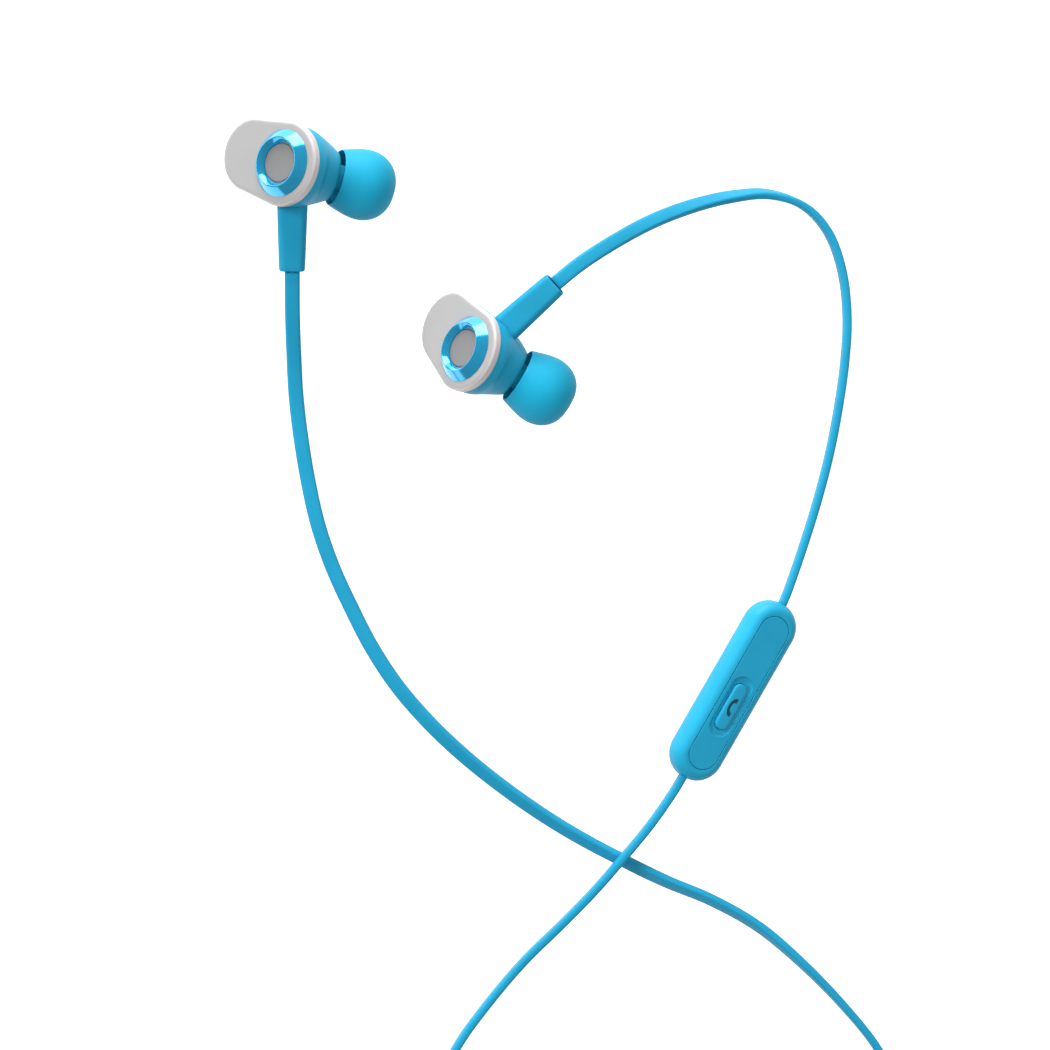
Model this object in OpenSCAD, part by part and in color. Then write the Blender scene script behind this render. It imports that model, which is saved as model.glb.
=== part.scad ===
// In-ear earphones on a flat cord, with a one-key in-line remote, a Y-splitter and a four-pole plug.
// They lie on a flat surface at z = 0, and the origin is below the middle of the earbuds and the remote.
// Each earbud is made in its own frame: the origin is on the faceplate's front, at the centre of its round
// end, +X points to the faceplate's tab end and +Z points out of the face.

/* [Earbud] */
// Radius of the faceplate's round end
face_r = 7.4; // [7.2:0.1:7.8]
// Radius of the faceplate's tab end
tab_r = 6.4; // [6:0.1:7]
// Distance between the centres of the faceplate's two ends
tab_reach = 7.3; // [6.8:0.1:8]
// Thickness of the faceplate
face_t = 1.5; // [1.2:0.1:1.6]
// Angle between the nozzle and the back of the face
nozzle_tilt = 33; // [28:1:36]
// Height of the trim ring's rim above the faceplate
ring_rise = 1.5; // [0.8:0.1:2]
// Radius of the nozzle's stem
stem_r = 2.35; // [2.2:0.05:2.4]
// Largest radius of the ear tip's skirt
tip_r = 6.25; // [5.5:0.05:7]
// Radius of the driver's frame
driver_r = 4.7; // [4.5:0.05:4.7]

/* [Remote] */
// Length of the remote
remote_l = 35.5; // [34:0.5:38]
// Width of the remote
remote_w = 9.8; // [9.4:0.1:10.5]
// Length of the call key
key_l = 9; // [8:0.5:10]
// Width of the call key
key_w = 2.6; // [2.2:0.1:2.8]
// Height of the call key above the inlay plate
key_rise = 0.3; // [0.3:0.05:0.5]

/* [Cord] */
// Width of the flat cord
cord_w = 2.65; // [2.4:0.05:2.8]
// Thickness of the flat cord
cord_t = 1.4; // [1.2:0.05:1.5]
// Turns of the stowed cord in its coil
coil_turns = 8; // [4:1:9]

/* [Plug] */
// Radius of the plug's pin
pin_r = 1.75; // [1.75:0.01:1.75]
// Radius of the plug's grip
grip_r = 3.1; // [2.9:0.05:3.1]
// Length of the plug's grip
grip_l = 14; // [12:0.5:16]

/* [Hidden] */
$fn = 48;

// Faceplate, ring and disc: the ring and the disc sit in a round seat in the plate
plate_step = 0.4;
plate_inset = 0.3;
seat_r = 4.95;
seat_depth = 0.7;
ring_foot_r = 5.85;
ring_rim_r = 4.3;
disc_r = 3.35;
disc_rise = 0.4;
fit = 0.05;

// Housing: depths are behind the face, and the nozzle's stations run along it from where it starts
skin = 1;
rim_depth = 4.2;
rim_tab_r = 6.2;
rim_reach = 6.4;
nozzle_depth = 5;
waist_at = 3;
waist_r = 6;
shoulder_at = 6.1;
shoulder_r = 4.3;
stem_end = 12.1;
lip_l = 0.8;
lip_rise = 0.25;
bore_r = 1.7;

// Strain relief: a bar from inside the housing, [width, thickness] at its root and at its end
relief_depth = 3.1;
relief_turn = [-108.2, -39.1, 18.6];
relief_root = 5.4;
relief_end = 18.3;
relief_root_size = [5.4, 3.2];
relief_end_size = [4.55, 2.8];

// Driver: its parts are stacked behind the faceplate
yoke_back = 1.9;
plate_back = 2;
driver_front = 5.2;
cover_t = 0.25;
coil_r = 2.8;

// Where the earbuds lie, and how each is turned
left_at = [-41.6, 49.8, 13.2];
left_turn = [0, 41.5, 174.4];
left_tab_turn = -12;
right_at = [-9.8, 18.1, 12.4];
right_turn = [0, 53.1, 163.9];
right_tab_turn = -25.5;

// Where the remote lies: its long axis and its roll
remote_at = [38.8, -41.9, 3.65];
remote_heading = 59.7;
remote_roll = 17;
remote_half = 2.75;
inlay_l = 30.6;
inlay_w = 5.9;
inlay_t = 0.8;
dish_l = 11.8;
dish_w = 4.3;
dish_t = 0.35;
key_offset = -2.8;
key_travel = 0.3;
key_foot = 1.1;
board_top = -0.3;
board_t = 0.6;
mic_at = 8;
mic_r = 1.5;
mic_t = 0.8;

// Splitter and plug places
splitter_at = [8, -158.5, 2.2];
splitter_l = 20;
splitter_half = 2.2;
splitter_r = 4;
splitter_tail_r = 2.6;
plug_at = [-54, -161.5, 3.1];
relief_l = 9;

// Pin: stations along it from the grip's face
pin_l = 14;
pin_core_r = 1;
collar_l = 0.8;
ring_starts = [5.6, 8.2];
gap_starts = [5, 7.6, 10.2];
gap_l = 0.6;

// Coil: the cord is wound on edge, a pitch apart
coil_at = [-17, -172.5];
coil_pitch = 1.5;
coil_in = 8.1;
coil_out = coil_in + coil_turns * coil_pitch + cord_t;
tie_t = 0.3;
tie_w = 4;

// Routes: [x, y, z, roll], where roll 0 is a cord lying flat and 90 is a cord on its edge
left_route = [
    [-39.5, 31.8, 6.5, 2], [-39.4, 24.5, 4.4, 2], [-39.1, 17.5, 2.2, 1], [-38.7, 10.5, 1, 0],
    [-37.9, 3.5, 0.75, 0], [-36.6, -4.5, 0.75, 0], [-34.8, -12.5, 0.75, 0], [-32.2, -20, 0.8, 5],
    [-29, -27, 0.9, 9], [-25.4, -34, 0.95, 14], [-20.8, -41, 1, 20], [-15.2, -47.5, 1.05, 25],
    [-9, -53.4, 1.1, 30], [-2.2, -58.9, 1.15, 35], [5, -64, 1.2, 40], [12, -68.3, 1.2, 44],
    [19.5, -72.3, 1.25, 48], [27, -76, 1.3, 52], [35.5, -79.6, 1.35, 58], [44, -84.5, 1.4, 66],
    [52, -91.3, 1.4, 76], [59.5, -99, 1.4, 86], [65.5, -106.5, 1.35, 90], [69, -114, 1.35, 90],
    [68.8, -121.5, 1.35, 90], [64.5, -128, 1.35, 90], [57, -131.5, 1.35, 90], [48, -133.5, 1.35, 90],
    [39, -135, 1.35, 90], [30, -136.7, 1.4, 90], [21.5, -139.3, 1.5, 90], [14.6, -143, 1.8, 90],
    [10.6, -147, 2.1, 90], [9.6, -150.5, 2.2, 90]
];
right_upper_route = [
    [5.6, 29.2, 15.4, 0], [10.2, 32.9, 14.7, -3], [16.5, 37, 12.2, -8], [23.8, 41, 8.8, -18],
    [31.5, 44.1, 5.4, -32], [39, 46.1, 2.9, -48], [45.8, 46.7, 1.7, -66], [52.2, 44.6, 1.4, -84],
    [56.6, 39.9, 1.35, -90], [59.1, 33, 1.35, -90], [60, 25, 1.35, -90], [59.6, 17, 1.35, -90],
    [58.4, 8.5, 1.35, -90], [56.7, 0, 1.45, -90], [54.3, -8.7, 1.9, -90], [51.4, -17.3, 2.7, -90],
    [48.6, -24.7, 3.6, -90], [47.5, -27.1, 3.65, -90]
];
right_lower_route = [
    [30.1, -56.7, 3.65, -90], [27.9, -60.3, 3.6, -90], [24, -65.7, 3.8, -90], [19.2, -71.4, 3.9, -90],
    [14, -77.4, 3.4, -90], [8.2, -83.5, 2.2, -90], [1.8, -89.8, 1.45, -90], [-4.3, -96.8, 1.35, -90],
    [-10, -104.5, 1.35, -90], [-13.8, -112.5, 1.35, -90], [-14.4, -120.5, 1.35, -90],
    [-11.2, -127.5, 1.35, -90], [-5, -133, 1.4, -90], [1.5, -138, 1.6, -90], [5.2, -144, 2, -90],
    [6.4, -150.5, 2.2, -90]
];
main_route = [
    [8, -167.5, 2.2, 90], [7.7, -172.5, 2, 90], [6.2, -176.5, 1.8, 90], [3.2, -180.3, 1.65, 90],
    [0, -184.4, 1.65, 90]
];
tail_route = [
    [-9.8, -177.5, 1.65, 90], [-13.5, -179, 1.9, 80], [-17.6, -178.9, 2.9, 55], [-21.6, -178, 3.9, 25],
    [-26.5, -177.4, 3.95, 0], [-32, -177, 3.8, 0], [-37.5, -176.7, 3.7, 0], [-42.5, -176.1, 2.9, 0],
    [-47.6, -174.4, 2.1, 0], [-51.6, -170.6, 2.1, 0], [-53.6, -165.8, 2.7, 0], [-54, -161, 3.1, 0]
];

function unit(v) = v / norm(v);

// The way a route runs at its point i
function way(route, i) =
    i == 0 ? unit(place(route, 1) - place(route, 0)) :
    i == len(route) - 1 ? unit(place(route, i) - place(route, i - 1)) :
    unit(unit(place(route, i + 1) - place(route, i)) + unit(place(route, i) - place(route, i - 1)));
function place(route, i) = [route[i].x, route[i].y, route[i].z];

// Eight corners of the flat cord's section
cord_cut = 0.42;
cord_section = [
    for (q = [[1, 1], [-1, 1], [-1, -1], [1, -1]], k = [0, 1])
        let (long = q[0] * q[1] > 0 ? 1 - k : k)
        [q[0] * (cord_w / 2 - (long ? 0 : cord_cut)), q[1] * (cord_t / 2 - (long ? cord_cut : 0))]
];

function ring(route, i) =
    let (along = way(route, i), side = unit(cross([0, 0, 1], along)), up = cross(along, side),
         roll = route[i][3], wide = cos(roll) * side + sin(roll) * up, thin = cross(along, wide))
    [for (p = cord_section) place(route, i) + p.x * wide + p.y * thin];

module flat_cord(route) {
    n = len(cord_section);
    last = len(route) - 1;
    polyhedron(
        points = [for (i = [0:last]) each ring(route, i)],
        faces = concat(
            [[for (k = [0:n - 1]) k]],
            [[for (k = [n - 1:-1:0]) last * n + k]],
            [for (i = [0:last - 1], k = [0:n - 1])
                [i * n + k, (i + 1) * n + k, (i + 1) * n + (k + 1) % n]],
            [for (i = [0:last - 1], k = [0:n - 1])
                [i * n + k, (i + 1) * n + (k + 1) % n, i * n + (k + 1) % n]]
        ),
        convexity = 10
    );
}

// A pill outline with a round end of radius r1 at the origin and one of radius r2 at x = reach
module pill(r1, r2, reach) {
    turn = acos((r1 - r2) / reach);
    circle(r1);
    translate([reach, 0]) circle(r2);
    polygon([
        r1 * [cos(turn), sin(turn)], r1 * [cos(turn), -sin(turn)],
        [reach, 0] + r2 * [cos(turn), -sin(turn)], [reach, 0] + r2 * [cos(turn), sin(turn)]
    ]);
}

// A pill with equal ends, centred on the origin
module bar(l, w) {
    translate([w / 2 - l / 2, 0]) pill(w / 2, w / 2, l - w);
}

// A thin slice of a shape, which hull() joins to others
module slice(z) {
    translate([0, 0, z]) linear_extrude(0.1) children();
}

module on_left() {
    translate(left_at) rotate(left_turn) rotate([0, 0, left_tab_turn]) children();
}

module on_right() {
    translate(right_at) rotate(right_turn) rotate([0, 0, right_tab_turn]) mirror([0, 1, 0]) children();
}

module on_nozzle() {
    translate([0, 0, -nozzle_depth]) rotate([0, 180 + nozzle_tilt, 0]) children();
}

module on_relief() {
    translate([0, 0, -relief_depth]) rotate(relief_turn) children();
}

module on_remote() {
    translate(remote_at) rotate([remote_roll, 0, remote_heading]) children();
}

// ---- Earbud ----

module faceplate() {
    difference() {
        union() {
            translate([0, 0, -face_t]) linear_extrude(face_t - plate_step) pill(face_r, tab_r, tab_reach);
            translate([0, 0, -plate_step]) linear_extrude(plate_step)
                pill(face_r - plate_inset, tab_r - plate_inset, tab_reach);
        }
        translate([0, 0, -face_t - 1]) cylinder(r = seat_r, h = face_t + 2);
    }
}

module trim_ring() {
    rotate_extrude() polygon([
        [disc_r + fit, -seat_depth], [seat_r - fit, -seat_depth], [seat_r - fit, 0], [ring_foot_r, 0],
        [ring_rim_r + 0.2, ring_rise - 0.1], [ring_rim_r, ring_rise], [ring_rim_r - 0.2, ring_rise - 0.1],
        [disc_r + fit, disc_rise]
    ]);
}

module badge_disc() {
    translate([0, 0, -seat_depth]) cylinder(r = disc_r, h = seat_depth + disc_rise);
}

module relief_body(grow) {
    on_relief() hull() {
        slice(relief_root) bar(relief_root_size.x + grow, relief_root_size.y + grow, $fn = 24);
        slice(relief_end - 0.1) bar(relief_end_size.x + grow, relief_end_size.y + grow, $fn = 24);
    }
}

module housing() {
    difference() {
        union() {
            hull($fn = 32) {
                slice(-face_t - 0.1) pill(face_r - 0.15, tab_r - 0.15, tab_reach);
                slice(-rim_depth) pill(face_r - 0.1, rim_tab_r, rim_reach);
                on_nozzle() slice(waist_at) circle(waist_r);
                on_nozzle() slice(shoulder_at - 0.1) circle(shoulder_r);
            }
            on_nozzle() translate([0, 0, waist_at]) cylinder(r = stem_r, h = stem_end - waist_at);
            on_nozzle() translate([0, 0, stem_end - lip_l]) cylinder(r = stem_r + lip_rise, h = lip_l);
        }
        hull($fn = 32) {
            slice(-face_t) pill(face_r - skin, tab_r - skin, tab_reach);
            slice(0.2 - rim_depth) pill(face_r - skin, rim_tab_r - skin, rim_reach);
            on_nozzle() slice(shoulder_at - 1.5 * skin) circle(shoulder_r - 1.1 * skin);
        }
        on_nozzle() cylinder(r = bore_r, h = stem_end + 1);
        relief_body(0.1);
    }
}

module nozzle_mesh() {
    on_nozzle() translate([0, 0, stem_end - 0.6]) cylinder(r = bore_r, h = 0.25);
}

module ear_tip() {
    on_nozzle() rotate_extrude() polygon([
        [4.95, 6.6], [5.3, 7.6], [5.85, 9.4], [tip_r - 0.05, 11], [tip_r, 12.2], [tip_r - 0.25, 13.8],
        [5.3, 15.3], [4.2, 16.4], [3.1, 16.95], [2.4, 17], [2, 16.6], [2, 12.5], [2.7, 12.5], [2.7, 9.6],
        [3.7, 9.6], [3.7, 14.4], [4.4, 14.4], [5.3, 13.3], [5.65, 12.1], [5.6, 11], [5.3, 9.5],
        [4.85, 7.8], [4.6, 6.75]
    ]);
}

module strain_relief() {
    relief_body(0);
}

module terminal_board() {
    translate([5.5, -2.6, -2.3]) cube([4.6, 5.2, 0.5]);
}

module driver_yoke() {
    translate([0, 0, -yoke_back]) rotate_extrude() polygon([
        [0, 0], [3.4, 0], [3.4, -plate_back], [2.95, -plate_back], [2.95, -0.5], [0, -0.5]
    ]);
}

module driver_magnet() {
    translate([0, 0, -yoke_back - 1.5]) cylinder(r = 2.3, h = 1);
}

module driver_pole_plate() {
    translate([0, 0, -yoke_back - plate_back]) cylinder(r = 2.45, h = 0.5);
}

module driver_frame() {
    translate([0, 0, -yoke_back]) rotate_extrude() polygon([
        [3.4, -1.2], [driver_r, -1.2], [driver_r, yoke_back - driver_front], [4.3, yoke_back - driver_front],
        [4.3, -1.8], [3.4, -1.8]
    ]);
}

module driver_cover() {
    difference() {
        translate([0, 0, -driver_front - cover_t]) cylinder(r = driver_r, h = cover_t);
        for (turn = [0:60:300]) rotate(turn) translate([2.6, 0, -driver_front - 1]) cylinder(r = 0.7, h = 2);
    }
}

module voice_coil() {
    translate([0, 0, -4.5]) difference() {
        cylinder(r = coil_r, h = 1.3);
        translate([0, 0, -1]) cylinder(r = coil_r - 0.2, h = 4);
    }
}

module diaphragm() {
    rotate_extrude() polygon([
        [0, -4.65], [2, -4.6], [coil_r, -4.5], [3.5, -4.6], [4.2, -4.5], [4.2, -4.6], [3.5, -4.7],
        [coil_r, -4.6], [2, -4.7], [0, -4.75]
    ]);
}

// ---- Remote ----

module remote_body(top) {
    hull($fn = 32) {
        slice(0) bar(remote_l, remote_w);
        slice(0.6) bar(remote_l, remote_w);
        slice(top - 0.8) bar(remote_l - 1, remote_w - 1);
        slice(top - 0.1) bar(remote_l - 3, remote_w - 3);
    }
}

module remote_cavity(z, h) {
    translate([0, 0, z]) linear_extrude(h) bar(remote_l - 2, remote_w - 2);
}

module key_outline(grow) {
    translate([key_offset, 0]) bar(key_l + grow, key_w + grow);
}

module remote_top_shell() {
    color("deepskyblue") on_remote() difference() {
        remote_body(remote_half);
        remote_cavity(-1, 2.4);
        translate([0, 0, remote_half - inlay_t]) linear_extrude(2) bar(inlay_l, inlay_w);
        linear_extrude(4) key_outline(0.2);
    }
}

module remote_bottom_shell() {
    color("deepskyblue") on_remote() difference() {
        mirror([0, 0, 1]) remote_body(remote_half);
        remote_cavity(-2, 3);
        translate([mic_at, 0, -4]) cylinder(r = 0.4, h = 4);
    }
}

module remote_inlay() {
    color("steelblue") on_remote() difference() {
        translate([0, 0, remote_half - inlay_t]) linear_extrude(inlay_t)
            bar(inlay_l - 2 * fit, inlay_w - 2 * fit);
        translate([key_offset, 0, remote_half - dish_t]) linear_extrude(1) bar(dish_l, dish_w);
        linear_extrude(4) key_outline(0.2);
    }
}

module call_key() {
    color("steelblue") on_remote() {
        translate([0, 0, key_foot]) linear_extrude(remote_half + key_rise - key_foot) key_outline(0);
        translate([0, 0, key_foot - 0.15]) linear_extrude(0.35) key_outline(0.9);
        translate([key_offset, 0, key_foot - 0.55 + key_travel]) cylinder(r = 0.6, h = 0.5);
    }
}

module key_switch() {
    color("silver") on_remote() translate([key_offset - 1.5, -1.5, board_top]) cube([3, 3, 0.8]);
}

module remote_board() {
    color("seagreen") on_remote() translate([-13, -3, board_top - board_t]) cube([26, 6, board_t]);
}

module microphone() {
    color("gainsboro") on_remote() translate([mic_at, 0, board_top - board_t - mic_t])
        cylinder(r = mic_r, h = mic_t);
}

module microphone_gasket() {
    color("dimgray") on_remote() translate([mic_at, 0, -2]) difference() {
        cylinder(r = mic_r, h = 2 + board_top - board_t - mic_t);
        translate([0, 0, -1]) cylinder(r = 0.6, h = 2);
    }
}

// ---- Splitter ----

module splitter_shape() {
    hull($fn = 32) {
        slice(0) splitter_outline(0);
        slice(splitter_half - 0.9) splitter_outline(0.3);
        slice(splitter_half - 0.1) splitter_outline(1.3);
    }
}

module splitter_outline(inset) {
    translate([0, splitter_l / 2 - splitter_r]) circle(splitter_r - inset);
    translate([0, splitter_tail_r - splitter_l / 2]) circle(splitter_tail_r - inset);
}

module splitter_pocket(z, h) {
    translate([-2.1, -5.1, z]) cube([4.2, 12.2, h]);
}

module splitter_upper() {
    color("deepskyblue") translate(splitter_at) difference() {
        splitter_shape();
        splitter_pocket(-1, 2.1);
    }
}

module splitter_lower() {
    color("deepskyblue") translate(splitter_at) difference() {
        mirror([0, 0, 1]) splitter_shape();
        splitter_pocket(-1.1, 2.1);
    }
}

module splitter_core() {
    color("gray") translate(splitter_at) translate([-2, -5, -1]) cube([4, 12, 2]);
}

// ---- Plug: its axis is +Y from the relief to the pin's end ----

module on_plug() {
    translate(plug_at) rotate([-90, 0, 0]) children();
}

module plug_relief() {
    color("deepskyblue") on_plug() hull($fn = 24) {
        slice(0) bar(4.4, 2.8);
        slice(relief_l - 0.1) bar(5.4, 5);
    }
}

module plug_grip() {
    color("deepskyblue") on_plug() translate([0, 0, relief_l]) rotate_extrude() polygon([
        [0, 0], [grip_r - 0.4, 0], [grip_r, 0.6], [grip_r, grip_l - 0.4], [grip_r - 0.4, grip_l], [0, grip_l]
    ]);
}

// A round band of the pin: its inner and outer radius, and the stations where it starts and ends
module pin_band(r_in, r_out, start, stop) {
    on_plug() translate([0, 0, relief_l + grip_l + start]) difference() {
        cylinder(r = r_out, h = stop - start);
        translate([0, 0, -1]) cylinder(r = r_in, h = stop - start + 2);
    }
}

module plug_collar() {
    color("silver") pin_band(pin_core_r, 2.5, 0, collar_l);
}

module plug_sleeve() {
    color("silver") pin_band(pin_core_r, pin_r, collar_l, gap_starts[0]);
}

module plug_microphone_ring() {
    color("silver") pin_band(pin_core_r, pin_r, ring_starts[0], gap_starts[1]);
}

module plug_right_ring() {
    color("silver") pin_band(pin_core_r, pin_r, ring_starts[1], gap_starts[2]);
}

module plug_insulator() {
    color("black") {
        pin_band(0.5, pin_core_r, 0, gap_starts[2] + gap_l);
        for (start = gap_starts) pin_band(pin_core_r, pin_r, start, start + gap_l);
    }
}

module plug_tip() {
    color("silver") on_plug() translate([0, 0, relief_l + grip_l]) rotate_extrude() polygon([
        [0, 0], [0.5, 0], [0.5, 10.8], [pin_r, 10.8], [pin_r, 11], [1.25, 12], [1.6, 12.9],
        [1.1, pin_l - 0.3], [0.5, pin_l], [0, pin_l]
    ]);
}

// ---- Cords ----

// The outer shape of all the coil's turns
module coil_ring() {
    rotate_extrude() translate([coil_in, tie_t]) square([coil_out - coil_in, cord_w]);
}

module cord_coil() {
    color("deepskyblue") translate(coil_at) coil_ring();
}

module cord_ties() {
    span = coil_out - coil_in + 3 * tie_t;
    color("dimgray") translate(coil_at) for (turn = [20, 140]) rotate(turn) difference() {
        translate([coil_in - 2 * tie_t, -tie_w / 2, 0]) cube([span, tie_w, cord_w + 2 * tie_t]);
        coil_ring();
    }
}

module left_cord() { color("deepskyblue") flat_cord(left_route); }
module right_cord_upper() { color("deepskyblue") flat_cord(right_upper_route); }
module right_cord_lower() { color("deepskyblue") flat_cord(right_lower_route); }
module main_cord() { color("deepskyblue") flat_cord(main_route); }
module main_cord_tail() { color("deepskyblue") flat_cord(tail_route); }

// ---- Both earbuds ----

module left_faceplate() { color("gainsboro") on_left() faceplate(); }
module left_trim_ring() { color("dodgerblue") on_left() trim_ring(); }
module left_badge_disc() { color("darkgray") on_left() badge_disc(); }
module left_housing() { color("deepskyblue") on_left() housing(); }
module left_nozzle_mesh() { color("gray") on_left() nozzle_mesh(); }
module left_ear_tip() { color("deepskyblue") on_left() ear_tip(); }
module left_strain_relief() { color("deepskyblue") on_left() strain_relief(); }
module left_terminal_board() { color("seagreen") on_left() terminal_board(); }
module left_driver_yoke() { color("silver") on_left() driver_yoke(); }
module left_driver_magnet() { color("gray") on_left() driver_magnet(); }
module left_driver_pole_plate() { color("silver") on_left() driver_pole_plate(); }
module left_driver_frame() { color("dimgray") on_left() driver_frame(); }
module left_driver_cover() { color("gray") on_left() driver_cover(); }
module left_voice_coil() { color("peru") on_left() voice_coil(); }
module left_diaphragm() { color("wheat") on_left() diaphragm(); }
module right_faceplate() { color("gainsboro") on_right() faceplate(); }
module right_trim_ring() { color("dodgerblue") on_right() trim_ring(); }
module right_badge_disc() { color("darkgray") on_right() badge_disc(); }
module right_housing() { color("deepskyblue") on_right() housing(); }
module right_nozzle_mesh() { color("gray") on_right() nozzle_mesh(); }
module right_ear_tip() { color("deepskyblue") on_right() ear_tip(); }
module right_strain_relief() { color("deepskyblue") on_right() strain_relief(); }
module right_terminal_board() { color("seagreen") on_right() terminal_board(); }
module right_driver_yoke() { color("silver") on_right() driver_yoke(); }
module right_driver_magnet() { color("gray") on_right() driver_magnet(); }
module right_driver_pole_plate() { color("silver") on_right() driver_pole_plate(); }
module right_driver_frame() { color("dimgray") on_right() driver_frame(); }
module right_driver_cover() { color("gray") on_right() driver_cover(); }
module right_voice_coil() { color("peru") on_right() voice_coil(); }
module right_diaphragm() { color("wheat") on_right() diaphragm(); }

left_faceplate();
left_trim_ring();
left_badge_disc();
left_housing();
left_nozzle_mesh();
left_ear_tip();
left_strain_relief();
left_terminal_board();
left_driver_yoke();
left_driver_magnet();
left_driver_pole_plate();
left_driver_frame();
left_driver_cover();
left_voice_coil();
left_diaphragm();
right_faceplate();
right_trim_ring();
right_badge_disc();
right_housing();
right_nozzle_mesh();
right_ear_tip();
right_strain_relief();
right_terminal_board();
right_driver_yoke();
right_driver_magnet();
right_driver_pole_plate();
right_driver_frame();
right_driver_cover();
right_voice_coil();
right_diaphragm();
remote_top_shell();
remote_bottom_shell();
remote_inlay();
call_key();
key_switch();
remote_board();
microphone();
microphone_gasket();
splitter_upper();
splitter_lower();
splitter_core();
plug_relief();
plug_grip();
plug_collar();
plug_sleeve();
plug_microphone_ring();
plug_right_ring();
plug_tip();
plug_insulator();
left_cord();
right_cord_upper();
right_cord_lower();
main_cord();
cord_coil();
main_cord_tail();
cord_ties();
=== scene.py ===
"""Looks for a pair of in-ear earphones on a flat cord, with an in-line remote, a splitter and a plug.

Sizes are in millimetres until MM makes them metres. Each earbud piece is shaped once in the earbud's own
frame: the origin is on the faceplate's front, +X points to its tab end and +Z points out of the face.
"""

import math

import bmesh
import bpy
from mathutils import Euler, Matrix, Vector


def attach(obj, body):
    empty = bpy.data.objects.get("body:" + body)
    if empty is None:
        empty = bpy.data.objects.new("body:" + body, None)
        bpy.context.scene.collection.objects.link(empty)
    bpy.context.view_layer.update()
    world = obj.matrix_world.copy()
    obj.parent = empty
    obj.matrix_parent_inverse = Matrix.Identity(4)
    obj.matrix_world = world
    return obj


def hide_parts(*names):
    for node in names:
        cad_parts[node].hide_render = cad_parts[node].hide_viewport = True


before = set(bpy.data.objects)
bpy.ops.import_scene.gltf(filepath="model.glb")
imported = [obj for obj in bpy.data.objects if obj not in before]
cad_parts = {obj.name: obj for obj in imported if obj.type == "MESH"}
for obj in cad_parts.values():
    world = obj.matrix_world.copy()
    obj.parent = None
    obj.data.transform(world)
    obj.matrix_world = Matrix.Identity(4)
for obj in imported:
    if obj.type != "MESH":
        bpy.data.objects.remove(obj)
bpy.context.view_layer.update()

MM = 0.001


def turn(x=0.0, y=0.0, z=0.0):
    """The turning matrix for angles in degrees, about X first and Z last."""
    return Euler([math.radians(a) for a in (x, y, z)]).to_matrix().to_4x4()


def shift(x=0.0, y=0.0, z=0.0):
    return Matrix.Translation((x * MM, y * MM, z * MM))


# ---- Camera ----

VIEW_CENTRE = Vector((2, -12.5, 0)) * MM
VIEW_DISTANCE = 534 * MM
VIEW_LEAN = -6

camera = bpy.data.objects.new("camera", bpy.data.cameras.new("camera"))
bpy.context.scene.collection.objects.link(camera)
camera.data.sensor_width = 36
camera.data.lens = 102.86
camera.data.clip_start = 0.02
camera.rotation_euler = turn(y=VIEW_LEAN).to_euler()
camera.location = VIEW_CENTRE + turn(y=VIEW_LEAN) @ Vector((0, 0, VIEW_DISTANCE))
bpy.context.scene.camera = camera

# ---- Cords ----

CORD_W = 2.65
CORD_T = 1.4
CORD_ROUND = 0.5
COIL_AT = (-17, -172.5)
COIL_Z = 1.625
COIL_TURNS = 8
COIL_PITCH = 1.5
COIL_OUTER_R = 20.8
COIL_START = -35
POINTS_PER_TURN = 30
RING_GAP = 1.2

# Routes: [x, y, z, roll], where roll 0 is a cord lying flat and 90 is a cord on its edge
LEFT_ROUTE = [
    [-39.5, 31.8, 6.5, 2], [-39.4, 24.5, 4.4, 2], [-39.1, 17.5, 2.2, 1], [-38.7, 10.5, 1, 0],
    [-37.9, 3.5, 0.75, 0], [-36.6, -4.5, 0.75, 0], [-34.8, -12.5, 0.75, 0], [-32.2, -20, 0.8, 5],
    [-29, -27, 0.9, 9], [-25.4, -34, 0.95, 14], [-20.8, -41, 1, 20], [-15.2, -47.5, 1.05, 25],
    [-9, -53.4, 1.1, 30], [-2.2, -58.9, 1.15, 35], [5, -64, 1.2, 40], [12, -68.3, 1.2, 44],
    [19.5, -72.3, 1.25, 48], [27, -76, 1.3, 52], [35.5, -79.6, 1.35, 58], [44, -84.5, 1.4, 66],
    [52, -91.3, 1.4, 76], [59.5, -99, 1.4, 86], [65.5, -106.5, 1.35, 90], [69, -114, 1.35, 90],
    [68.8, -121.5, 1.35, 90], [64.5, -128, 1.35, 90], [57, -131.5, 1.35, 90], [48, -133.5, 1.35, 90],
    [39, -135, 1.35, 90], [30, -136.7, 1.4, 90], [21.5, -139.3, 1.5, 90], [14.6, -143, 1.8, 90],
    [10.6, -147, 2.1, 90], [9.6, -150.5, 2.2, 90],
]
RIGHT_UPPER_ROUTE = [
    [5.6, 29.2, 15.4, 0], [10.2, 32.9, 14.7, -3], [16.5, 37, 12.2, -8], [23.8, 41, 8.8, -18],
    [31.5, 44.1, 5.4, -32], [39, 46.1, 2.9, -48], [45.8, 46.7, 1.7, -66], [52.2, 44.6, 1.4, -84],
    [56.6, 39.9, 1.35, -90], [59.1, 33, 1.35, -90], [60, 25, 1.35, -90], [59.6, 17, 1.35, -90],
    [58.4, 8.5, 1.35, -90], [56.7, 0, 1.45, -90], [54.3, -8.7, 1.9, -90], [51.4, -17.3, 2.7, -90],
    [48.6, -24.7, 3.6, -90], [47.5, -27.1, 3.65, -90],
]
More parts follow.
